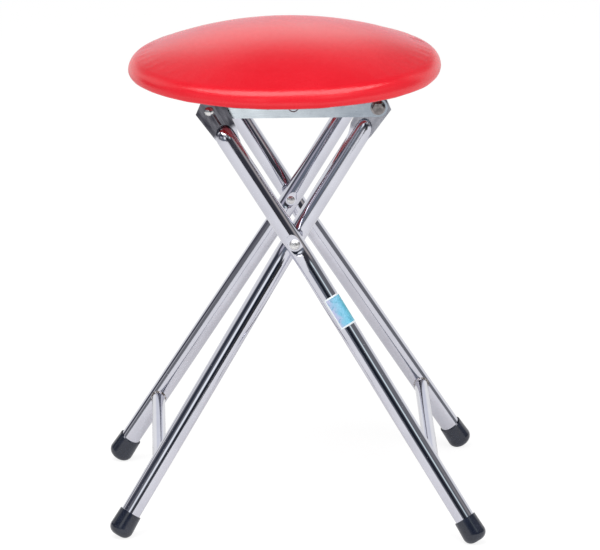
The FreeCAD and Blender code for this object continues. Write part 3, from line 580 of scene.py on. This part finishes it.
class Seat:
    """Sizes of the padded seat, read from its solids."""

    def __init__(self):
        low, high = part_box("seat_cover")
        board_low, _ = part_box("seat_board")
        self.centre = Vector(((low.x + high.x) / 2, (low.y + high.y) / 2, 0.0))
        self.radius = (high.x - low.x) / 2
        self.bottom = low.z
        self.top = high.z
        self.waist = self.bottom + LOWER_ROUND
        self.hem_radius = self.radius - LOWER_ROUND - HEM_WIDTH
        self.inside = board_low.z + HEM_TUCK
        # The crown is an arc through the top that meets the rim's arc with no corner
        rise = self.top - self.waist
        reach = self.radius - RIM_ROUND
        self.crown = (rise ** 2 + reach ** 2 - RIM_ROUND ** 2) / (2 * (rise - RIM_ROUND))
        self.crown_height = self.top - self.crown
        self.rim_angle = math.atan2(self.waist - self.crown_height, reach)

    def section(self, inset=0.0):
        """The half section from under the board, round the lip and the rim to the crown's middle."""
        crown = self.crown - inset
        lip = (self.radius - LOWER_ROUND, self.waist)
        rim = (self.radius - RIM_ROUND, self.waist)
        points = [(0.0, self.inside), (self.hem_radius, self.inside), (self.hem_radius, self.bottom)]
        points += arc(lip, LOWER_ROUND - inset, -math.pi / 2, 0.0, ARC_STEPS)[:-1]
        points += arc(rim, RIM_ROUND - inset, 0.0, self.rim_angle, ARC_STEPS)[:-1]
        points += arc((0.0, self.crown_height), crown, self.rim_angle, math.pi / 2, CROWN_STEPS)
        points[-1] = (0.0, self.top - inset)
        return points


def revolve(section, centre, steps):
    """A closed form of revolution about the vertical through centre."""
    ring = section[1:-1]
    points = []
    for turn in range(steps):
        angle = 2 * math.pi * turn / steps
        points += [centre + Vector((r * math.cos(angle), r * math.sin(angle), z)) for r, z in ring]
    faces = []
    count = len(ring)
    for turn in range(steps):
        here = turn * count
        there = (turn + 1) % steps * count
        faces += [(here + i, there + i, there + i + 1, here + i + 1) for i in range(count - 1)]
    low = len(points)
    points.append(centre + Vector((0.0, 0.0, section[0][1])))
    points.append(centre + Vector((0.0, 0.0, section[-1][1])))
    for turn in range(steps):
        here = turn * count
        there = (turn + 1) % steps * count
        faces.append((low, there, here))
        faces.append((low + 1, here + count - 1, there + count - 1))
    return points, faces


def coordinates(mesh):
    """A mesh's points as an array."""
    flat = np.empty(len(mesh.vertices) * 3)
    mesh.vertices.foreach_get("co", flat)
    return flat.reshape(-1, 3)


def set_coordinates(mesh, points):
    """Moves a mesh's points."""
    mesh.vertices.foreach_set("co", points.ravel())
    mesh.update()


def remeshed(thing, voxel):
    """The object's mesh, rebuilt in even quads."""
    step = thing.modifiers.new("even", "REMESH")
    step.mode = "VOXEL"
    step.voxel_size = voxel
    step.use_smooth_shade = True
    view = bpy.context.evaluated_depsgraph_get()
    mesh = bpy.data.meshes.new_from_object(thing.evaluated_get(view))
    thing.modifiers.clear()
    thing.data = mesh


def inflated(thing, pinned, cap):
    """Blows the closed form up as stuffed cloth; points move by the cap at most, and pinned points stay."""
    start = coordinates(thing.data)
    group = thing.vertex_groups.new(name="held")
    group.add([int(i) for i in np.flatnonzero(pinned)], 1.0, "REPLACE")
    cloth = thing.modifiers.new("padding", "CLOTH")
    settings = cloth.settings
    for setting, value in CLOTH.items():
        setattr(settings, setting, value)
    settings.vertex_group_mass = "held"
    settings.effector_weights.gravity = 0.0
    cloth.point_cache.frame_start = 1
    cloth.point_cache.frame_end = SIM_FRAMES
    for step in range(1, SIM_FRAMES + 1):
        bpy.context.scene.frame_set(step)
    view = bpy.context.evaluated_depsgraph_get()
    mesh = bpy.data.meshes.new_from_object(thing.evaluated_get(view))
    thing.modifiers.clear()
    thing.vertex_groups.clear()
    moved = coordinates(mesh) - start
    length = np.linalg.norm(moved, axis=1, keepdims=True)
    held = cap * np.tanh(length / cap) / np.maximum(length, 1e-9)
    thing.data = mesh
    set_coordinates(mesh, start + moved * held)
    bpy.context.scene.frame_set(1)


def ripple(angle, waves):
    """A sum of (count, height, phase) waves round the seat."""
    return sum(height * np.sin(count * angle + phase) for count, height, phase in waves)


def past_line(points, line):
    """How far each (radius, height) point lies outside a line of points, from the nearest place on it."""
    line = np.array(line)
    first = line[:-1]
    step = line[1:] - first
    length = np.maximum((step ** 2).sum(axis=1), 1e-12)
    best = np.full(len(points), np.inf)
    past = np.zeros(len(points))
    for a, d, size in zip(first, step, length):
        share = np.clip(((points - a) @ d) / size, 0.0, 1.0)
        away = points - (a + share[:, None] * d)
        distance = np.hypot(away[:, 0], away[:, 1])
        closer = distance < best
        best[closer] = distance[closer]
        outward = away[:, 0] * d[1] - away[:, 1] * d[0]
        past[closer] = (np.sign(outward) * distance)[closer]
    return past


def flattened(points, seat):
    """Points as (radius, height) about the seat's axis, and their angles."""
    across, deep, up = (points - np.array(seat.centre)).T
    return np.column_stack([np.hypot(across, deep), up]), np.arctan2(deep, across)


def swelling(cover, padding, seat):
    """How far the padding presses each point of the taut cover out, evened over its neighbours."""
    past = past_line(flattened(padding, seat)[0], seat.section())
    tree = kdtree.KDTree(len(padding))
    for i, point in enumerate(padding):
        tree.insert(point, i)
    tree.balance()
    found = []
    for point in cover:
        near = [i for _, i, _ in tree.find_n(point, SOFT_NEIGHBOURS)]
        found.append(np.mean(past[near]))
    return (np.array(found) - np.mean(found)) * SOFT_SHARE


def drawn(points, normals, swell, seat):
    """The cover with the padding's unevenness in its crown and rim; its lip and its hem waver."""
    flat, angle = flattened(points, seat)
    free = np.clip((flat[:, 1] - seat.waist) / RIM_ROUND, 0.0, 1.0)
    moved = points + normals * (swell * free)[:, None]
    # The drawn edge wavers most where the skin turns under, and the hem gathers most midway across it
    turned = np.clip((seat.waist - flat[:, 1]) / LOWER_ROUND, 0.0, 1.0)
    under = np.clip((seat.radius - LOWER_ROUND - flat[:, 0]) / HEM_WIDTH, 0.0, 1.0)
    outer = flat[:, 0] > seat.hem_radius + HEM_MARGIN
    waver = ripple(angle, LIP_WAVES)
    gathers = ripple(angle, HEM_WAVES)
    midway = under * (1.0 - under) * 4.0
    moved[:, 2] += outer * (turned * (1.0 - under) * waver + midway * gathers)
    return moved


def settle(points, seat):
    """Lowers the padding's left side and raises its right a little, above the lip."""
    share = np.clip((points[:, 2] - seat.bottom) / (seat.waist - seat.bottom), 0.0, 1.0)
    points[:, 2] += share * math.tan(SEAT_LEAN) * (points[:, 0] - seat.centre.x)
    return points


def make_cushion(material):
    """The padded seat in its cover."""
    seat = Seat()
    points, faces = revolve(seat.section(), seat.centre, SEAT_STEPS)
    cushion = add_object("seat_cushion", mesh_from("seat_cushion", points, faces))
    cover = coordinates(cushion.data)
    swell = np.zeros(len(cover))
    points, faces = revolve(seat.section(SHRINK), seat.centre, SEAT_STEPS)
    padding = add_object("padding", mesh_from("padding", points, faces))
    remeshed(padding, VOXEL)
    start = coordinates(padding.data)
    inflated(padding, start[:, 2] < seat.bottom + SHRINK * PINNED_SHARE, SIM_CAP)
    swell = swelling(cover, coordinates(padding.data), seat)
    bpy.data.objects.remove(padding)
    normals = np.empty(len(cover) * 3)
    cushion.data.vertices.foreach_get("normal", normals)
    set_coordinates(cushion.data, settle(drawn(cover, normals.reshape(-1, 3), swell, seat), seat))
    cushion.data.set_sharp_from_angle(angle=HEM_CORNER)
    cushion.data.materials.clear()
    cushion.data.materials.append(material)
    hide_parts("seat_cover", "seat_foam")
    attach(cushion, "seat")


def leg_place(side, lean, depth, splay, down):
    """A point on a leg's centre line, that far below the bend, on the front (-1) or rear (+1) side."""
    along = -BEND_DROP - down * math.cos(splay)
    turned = Vector((along * math.sin(lean), 0.0, along * math.cos(lean)))
    return CROSSING + turned + Vector((0.0, side * (depth + down * math.sin(splay)), 0.0))


def make_label(material):
    """The film wrapped round the front outer leg, below its bend."""
    top = leg_place(-1, -LEG_LEAN, OUTER_DEPTH, OUTER_SPLAY, LABEL_START)
    bottom = leg_place(-1, -LEG_LEAN, OUTER_DEPTH, OUTER_SPLAY, LABEL_START + LABEL_LENGTH)
    axis = (bottom - top).normalized()
    front = direction(CAMERA_AZIMUTH, CAMERA_ELEVATION)
    front = (front - axis * front.dot(axis)).normalized()
    right = front.cross(axis)
    points = []
    shares = []
    for i in range(LABEL_ROWS + 1):
        for j in range(LABEL_COLUMNS + 1):
            turn = LABEL_FROM + (LABEL_TO - LABEL_FROM) * j / LABEL_COLUMNS
            out = front * math.cos(turn) + right * math.sin(turn)
            points.append(top.lerp(bottom, i / LABEL_ROWS) + out * (TUBE_RADIUS + LABEL_FACE))
            shares.append((i / LABEL_ROWS, j / LABEL_COLUMNS))
    mesh = mesh_from("blue_label", points, grid_faces(LABEL_ROWS + 1, LABEL_COLUMNS + 1))
    film = mesh.uv_layers.new(name="film")
    for loop in mesh.loops:
        film.data[loop.index].uv = shares[loop.vertex_index]
    label = add_object("blue_label", mesh)
    depth = label.modifiers.new("film", "SOLIDIFY")
    depth.thickness = LABEL_THICKNESS
    depth.offset = -1.0
    label.data.materials.append(material)
    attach(label, "outer_frame")


def weld_path(stretcher, lean, depth, splay, side):
    """Where a stretcher's skin, followed along Y, meets the leg's skin: points round the stretcher."""
    low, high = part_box(stretcher)
    centre = Vector(((low.x + high.x) / 2, 0.0, (low.z + high.z) / 2))
    start = leg_place(side, lean, depth, splay, 0.0)
    axis = (leg_place(side, lean, depth, splay, 1.0) - start).normalized()
    slope = Vector((0.0, 1.0, 0.0)) - axis * axis.y
    a = slope.dot(slope)
    path = []
    for step in range(WELD_STEPS):
        turn = 2 * math.pi * step / WELD_STEPS
        base = centre + Vector((math.cos(turn), 0.0, math.sin(turn))) * STRETCHER_RADIUS
        offset = base - start
        rest = offset - axis * offset.dot(axis)
        b = rest.dot(slope)
        c = rest.dot(rest) - TUBE_RADIUS ** 2
        reach = (-b - side * math.sqrt(max(b * b - a * c, 0.0))) / a
        path.append(base + Vector((0.0, reach, 0.0)))
    return path


def make_weld(name, stretcher, lean, depth, splay, side, body, material):
    """A rippled bead round the end of a stretcher, where it meets the leg."""
    inward = Vector((0.0, -side, 0.0))
    points = []
    for step, place in enumerate(weld_path(stretcher, lean, depth, splay, side)):
        turn = 2 * math.pi * step / WELD_STEPS
        out = Vector((math.cos(turn), 0.0, math.sin(turn)))
        ripples = WELD_RIPPLES[1] * math.sin(WELD_RIPPLES[0] * turn + side)
        swells = WELD_SWELLS[1] * math.sin(WELD_SWELLS[0] * turn + 2 * side)
        radius = WELD_RADIUS * (1.0 + ripples + swells)
        for k in range(WELD_SIDES):
            around = 2 * math.pi * k / WELD_SIDES
            points.append(place + (out * math.cos(around) + inward * math.sin(around)) * radius)
    faces = grid_faces(WELD_STEPS, WELD_SIDES, closed_rows=True, closed_columns=True)
    bead = add_object(name, mesh_from(name, points, faces))
    bead.data.materials.append(material)
    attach(bead, body)


def make_welds(material):
    """The four beads."""
    outer_leg = (-LEG_LEAN, OUTER_DEPTH, OUTER_SPLAY)
    inner_leg = (LEG_LEAN, INNER_DEPTH, INNER_SPLAY)
    for side, word in ((-1, "front"), (1, "rear")):
        make_weld(f"outer_{word}_weld", "outer_stretcher", *outer_leg, side, "outer_frame", material)
        make_weld(f"inner_{word}_weld", "inner_stretcher", *inner_leg, side, "inner_frame", material)


def feathered(offset, half, feather):
    """1 within half a width, falling smoothly to 0 over the feather."""
    share = min(max((half + feather - abs(offset)) / feather, 0.0), 1.0)
    return share * share * (3.0 - 2.0 * share)


def studio_colour(azimuth, elevation):
    """What the studio shows in a direction: white, with the panels over it."""
    colour = np.ones(3)
    for (middle, level), (half_width, half_height), feather, tint in PANELS.values():
        across = (azimuth - middle + 180.0) % 360.0 - 180.0
        wide = feathered(across, half_width, feather)
        high = feathered(elevation - level, half_height, feather)
        colour += (np.array(tint) - colour) * (wide * high)
    return colour


def empty_tree(holder):
    """The node tree of a new material or world, with nothing in it."""
    holder.use_nodes = True
    holder.node_tree.nodes.clear()
    return holder.node_tree


def glow_card(name, points, faces, colours):
    """A piece of the studio that only mirror images see, glowing in its points' colours."""
    mesh = mesh_from(name, points, faces)
    glow = mesh.attributes.new("glow", "FLOAT_COLOR", "POINT")
    glow.data.foreach_set("color", np.array([(*colour, 1.0) for colour in colours]).ravel())
    material = bpy.data.materials.new(f"{name}_glow")
    material.cycles.emission_sampling = "NONE"
    tree = empty_tree(material)
    shown = tree.nodes.new("ShaderNodeAttribute")
    shown.attribute_name = "glow"
    light = tree.nodes.new("ShaderNodeEmission")
    tree.links.new(shown.outputs["Color"], light.inputs["Color"])
    end = tree.nodes.new("ShaderNodeOutputMaterial")
    tree.links.new(light.outputs["Emission"], end.inputs["Surface"])
    mesh.materials.append(material)
    card = add_object(name, mesh)
    for kind in ("camera", "diffuse", "shadow", "transmission", "volume_scatter"):
        setattr(card, f"visible_{kind}", False)


def make_dome():
    """The studio round the stool, standing on the floor."""
    columns = round(360.0 / DOME_STEP)
    rows = round((90.0 - DOME_FOOT) / DOME_STEP)
    points = []
    colours = []
    for row in range(rows + 1):
        elevation = DOME_FOOT + (90.0 - DOME_FOOT) * row / rows
        for column in range(columns):
            azimuth = 360.0 * column / columns
            out = direction(math.radians(azimuth), math.radians(elevation))
            points.append(DOME_CENTRE + out * DOME_RADIUS)
            colours.append(studio_colour(azimuth, elevation))
    faces = grid_faces(rows + 1, columns, closed_columns=True)
    glow_card("studio_dome", points, faces, colours)


def make_softbox():
    """The lit panel over the stool."""
    points = [(across, depth, SOFTBOX_HEIGHT) for across, depth in SOFTBOX_CORNERS]
    glow_card("softbox", points, [tuple(range(len(points)))], [(SOFTBOX_GLOW,) * 3] * len(points))


def make_stand():
    """The dark stand in front."""
    points = []
    for azimuth in STAND_AZIMUTHS:
        foot = direction(math.radians(azimuth), 0.0) * STAND_DISTANCE
        points += [foot, foot + Vector((0.0, 0.0, STAND_HEIGHT))]
    glow_card("stand", points, [(0, 2, 3, 1)], [(STAND_GLOW,) * 3] * len(points))


def make_studio():
    """What the chrome and the vinyl mirror."""
    make_dome()
    make_softbox()
    make_stand()


def floor_shader(tree, glow, shade):
    """A floor that glows evenly and takes the rest of its light, and the shadow, from the lamps."""
    matt = tree.nodes.new("ShaderNodeBsdfDiffuse")
    matt.inputs["Color"].default_value = (shade, shade, shade, 1.0)
    light = tree.nodes.new("ShaderNodeEmission")
    light.inputs["Color"].default_value = (1.0, 1.0, 1.0, 1.0)
    light.inputs["Strength"].default_value = glow
    both = tree.nodes.new("ShaderNodeAddShader")
    tree.links.new(light.outputs["Emission"], both.inputs[0])
    tree.links.new(matt.outputs["BSDF"], both.inputs[1])
    return both.outputs["Shader"]


def make_floor():
    """A pale floor that takes a soft shadow, which mirror images show more strongly."""
    signs = ((-1, -1), (1, -1), (1, 1), (-1, 1))
    corners = [(x * FLOOR_HALF, y * FLOOR_HALF, -FLOOR_DROP) for x, y in signs]
    floor = add_object("floor", mesh_from("floor", corners, [(0, 1, 2, 3)]))
    material = bpy.data.materials.new("pale_floor")
    tree = empty_tree(material)
    rays = tree.nodes.new("ShaderNodeLightPath")
    mixed = tree.nodes.new("ShaderNodeMixShader")
    tree.links.new(rays.outputs["Is Glossy Ray"], mixed.inputs[0])
    tree.links.new(floor_shader(tree, *FLOOR_SEEN), mixed.inputs[1])
    tree.links.new(floor_shader(tree, *FLOOR_MIRRORED), mixed.inputs[2])
    end = tree.nodes.new("ShaderNodeOutputMaterial")
    tree.links.new(mixed.outputs["Shader"], end.inputs["Surface"])
    floor.data.materials.append(material)


def make_world():
    """White where it is seen or mirrored, and a moderate light otherwise."""
    world = bpy.data.worlds.new("studio")
    bpy.context.scene.world = world
    tree = empty_tree(world)
    rays = tree.nodes.new("ShaderNodeLightPath")
    seen = rays.outputs["Is Camera Ray"]
    for ray in ("Is Glossy Ray", "Is Transmission Ray"):
        either = tree.nodes.new("ShaderNodeMath")
        either.operation = "MAXIMUM"
        tree.links.new(seen, either.inputs[0])
        tree.links.new(rays.outputs[ray], either.inputs[1])
        seen = either.outputs["Value"]
    back = []
    for strength in (WORLD_LIGHT, 1.0):
        light = tree.nodes.new("ShaderNodeBackground")
        light.inputs["Color"].default_value = (1.0, 1.0, 1.0, 1.0)
        light.inputs["Strength"].default_value = strength
        back.append(light.outputs["Background"])
    mixed = tree.nodes.new("ShaderNodeMixShader")
    tree.links.new(seen, mixed.inputs[0])
    tree.links.new(back[0], mixed.inputs[1])
    tree.links.new(back[1], mixed.inputs[2])
    end = tree.nodes.new("ShaderNodeOutputWorld")
    tree.links.new(mixed.outputs["Shader"], end.inputs["Surface"])


def make_lamp(name, azimuth, elevation, distance, size, power):
    """A soft square lamp aimed at the stool, unseen in reflections."""
    lamp = bpy.data.lights.new(name, "AREA")
    lamp.shape = "SQUARE"
    lamp.size = size
    lamp.energy = power
    thing = add_object(name, lamp)
    back = direction(math.radians(azimuth), math.radians(elevation))
    thing.location = CROSSING + back * distance
    thing.rotation_euler = back.to_track_quat("Z", "Y").to_euler()
    thing.visible_glossy = False
    thing.visible_camera = False


def make_camera():
    """The camera at the photograph's angle."""
    back = direction(CAMERA_AZIMUTH, CAMERA_ELEVATION)
    right = Vector((math.cos(CAMERA_AZIMUTH), math.sin(CAMERA_AZIMUTH), 0.0))
    up = back.cross(right)
    aim = Vector((0.0, 0.0, CAMERA_AIM)) + right * CAMERA_PAN[0] + up * CAMERA_PAN[1]
    turned_right = right * math.cos(CAMERA_ROLL) + up * math.sin(CAMERA_ROLL)
    turned_up = up * math.cos(CAMERA_ROLL) - right * math.sin(CAMERA_ROLL)
    place = Matrix((turned_right, turned_up, back)).transposed().to_4x4()
    place.translation = aim + back * CAMERA_DISTANCE
    lens = bpy.data.cameras.new("camera")
    lens.sensor_width = CAMERA_SENSOR
    lens.lens = CAMERA_LENS
    camera = add_object("camera", lens)
    camera.matrix_world = place
    bpy.context.scene.camera = camera


red_vinyl = paint_frame()
make_cushion(red_vinyl)
make_label(label_film())
make_welds(weld_metal())
make_floor()
make_studio()
make_world()
for name, values in LAMPS.items():
    make_lamp(name, *values)
make_camera()
bpy.context.scene.view_settings.view_transform = "Standard"
